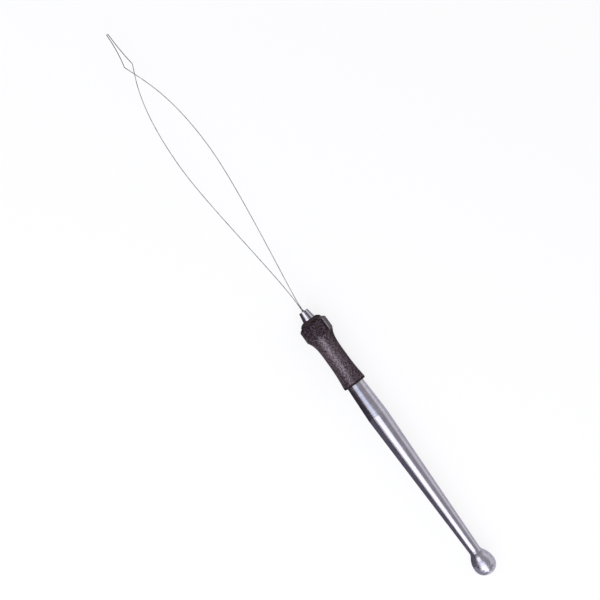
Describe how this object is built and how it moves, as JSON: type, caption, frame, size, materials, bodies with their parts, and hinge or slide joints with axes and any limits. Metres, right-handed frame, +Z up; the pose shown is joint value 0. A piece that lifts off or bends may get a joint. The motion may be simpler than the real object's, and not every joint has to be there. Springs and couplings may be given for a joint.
{
  "type": "wire loop tool",
  "caption": "Slim metal collet handle with a knob end and a dark hexagon-headed chuck sleeve, gripping a long springy threading loop of fine wire with a crossed, pointed eye.",
  "frame": {"origin": "middle of the hexagon flat on the chuck sleeve that the tool lies on", "axes": "+X along the tool towards the loop, +Z up out of the resting surface, +Y to the left when looking along +X"},
  "size_m": [0.2601, 0.0148, 0.011],
  "materials": {
    "turned_aluminium": "fine turned, bright satin",
    "dark_moulding": "grained moulding, warm brown-black",
    "insert_brass": "turned",
    "plated_collet": "bright nickel",
    "stem_steel": "dark crimped steel",
    "spring_wire": "drawn spring wire"
  },
  "bodies": {
    "handle": {"handle": "turned_aluminium"},
    "collet": {"collet": "plated_collet"},
    "sleeve": {"chuck_sleeve": "dark_moulding", "sleeve_insert": "insert_brass"},
    "loop": {"loop_wire": "spring_wire", "loop_ferrule": "stem_steel"}
  },
  "joints": [
    {"name": "collet_slide", "type": "slide", "parent": "handle", "child": "collet", "axis": [1, 0, 0], "range_m": [0, 0.0015]},
    {"name": "sleeve_turn", "type": "hinge", "parent": "collet", "child": "sleeve", "pos_m": [0, 0, 0.0055], "axis": [1, 0, 0], "range_deg": [0, 720]},
    {"name": "loop_pull", "type": "slide", "parent": "collet", "child": "loop", "axis": [1, 0, 0], "range_m": [0, 0.011]}
  ],
  "couplings": [
    {"joint": "sleeve_turn", "follows": "collet_slide", "rad_per_m": 8377.5}
  ]
}
